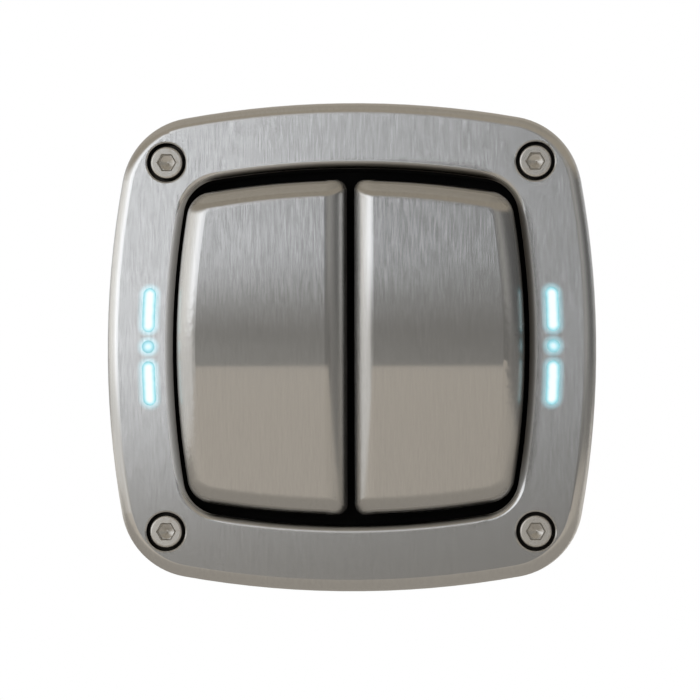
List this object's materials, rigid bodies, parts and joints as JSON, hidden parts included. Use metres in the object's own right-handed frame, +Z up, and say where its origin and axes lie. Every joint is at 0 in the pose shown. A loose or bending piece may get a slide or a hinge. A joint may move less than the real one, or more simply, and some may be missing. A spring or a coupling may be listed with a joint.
{
  "type": "rocker wall switch",
  "caption": "Rocker wall switch: bulged brushed steel plate with corner screws, side-by-side crowned rockers and lit bar and dot indicators, on a wall box insert.",
  "frame": {"origin": "centre of the switch on the wall's surface", "axes": "X right, Y into the wall, Z up; the front faces -Y"},
  "size_m": [0.082, 0.0365, 0.082],
  "materials": {
    "plate_steel": "fine vertical brushed grain",
    "rocker_steel": "fine vertical brushed grain",
    "screw_steel": "turned bright",
    "zinc_steel": "zinc plated",
    "pin_steel": "ground",
    "gasket_rubber": "matt",
    "black_plastic": "fine moulded texture",
    "carrier_plastic": "moulded",
    "base_plastic": "moulded thermoset",
    "back_plastic": "moulded thermoset",
    "nylon": "natural",
    "spring_steel": "drawn wire",
    "contact_copper": "stamped copper",
    "contact_silver": "matt silver",
    "brass": "machined",
    "light_guide": "clear, lit cyan white",
    "board_green": "lacquered",
    "led_white": "lit",
    "lead_red": "insulated wire"
  },
  "bodies": {
    "housing": {"front_plate": "plate_steel", "plate_screws": "screw_steel", "mounting_frame": "zinc_steel", "plate_standoffs": "zinc_steel", "bezel_screws": "zinc_steel", "insert_screws": "zinc_steel", "back_screws": "zinc_steel", "terminal_screws": "zinc_steel", "earth_screw": "zinc_steel", "left_pivot_pin": "pin_steel", "right_pivot_pin": "pin_steel", "plate_gasket": "gasket_rubber", "inner_bezel": "black_plastic", "insert_cover": "black_plastic", "insert_base": "base_plastic", "insert_back": "back_plastic", "left_fixed_contacts": "contact_silver", "right_fixed_contacts": "contact_silver", "left_common_terminal": "brass", "right_common_terminal": "brass", "left_upper_terminal": "brass", "right_upper_terminal": "brass", "left_lower_terminal": "brass", "right_lower_terminal": "brass", "earth_saddle": "brass", "left_light_guide": "light_guide", "right_light_guide": "light_guide", "left_led_board": "board_green", "right_led_board": "board_green", "left_leds": "led_white", "right_leds": "led_white", "left_led_leads": "lead_red", "right_led_leads": "lead_red"},
    "rocker_left": {"left_rocker_cap": "rocker_steel", "left_rocker_carrier": "carrier_plastic", "left_plunger_spring": "spring_steel"},
    "rocker_right": {"right_rocker_cap": "rocker_steel", "right_rocker_carrier": "carrier_plastic", "right_plunger_spring": "spring_steel"},
    "plunger_left": {"left_plunger": "nylon"},
    "plunger_right": {"right_plunger": "nylon"},
    "contact_left": {"left_contact_lever": "contact_copper", "left_moving_contacts": "contact_silver"},
    "contact_right": {"right_contact_lever": "contact_copper", "right_moving_contacts": "contact_silver"}
  },
  "joints": [
    {"name": "rocker_left_tilt", "type": "hinge", "parent": "housing", "child": "rocker_left", "pos_m": [-0.013, -0.005, 0], "axis": [-1, 0, 0], "range_deg": [0, 4.5]},
    {"name": "plunger_left_press", "type": "slide", "parent": "rocker_left", "child": "plunger_left", "axis": [0, -0.9992, -0.0393], "range_m": [0, 0.0006], "stiffness_N_per_m": 400, "springref_m": -0.0015, "deforming": ["left_plunger_spring"]},
    {"name": "contact_left_rock", "type": "hinge", "parent": "housing", "child": "contact_left", "pos_m": [-0.011, 0.0116, 0], "axis": [1, 0, 0], "range_deg": [0, 12]},
    {"name": "rocker_right_tilt", "type": "hinge", "parent": "housing", "child": "rocker_right", "pos_m": [0.013, -0.005, 0], "axis": [-1, 0, 0], "range_deg": [0, 4.5]},
    {"name": "plunger_right_press", "type": "slide", "parent": "rocker_right", "child": "plunger_right", "axis": [0, -0.9992, -0.0393], "range_m": [0, 0.0006], "stiffness_N_per_m": 400, "springref_m": -0.0015, "deforming": ["right_plunger_spring"]},
    {"name": "contact_right_rock", "type": "hinge", "parent": "housing", "child": "contact_right", "pos_m": [0.011, 0.0116, 0], "axis": [1, 0, 0], "range_deg": [0, 12]}
  ],
  "couplings": [
    {"joint": "contact_left_rock", "follows": "rocker_left_tilt", "ratio": 2.6667},
    {"joint": "contact_right_rock", "follows": "rocker_right_tilt", "ratio": 2.6667}
  ]
}
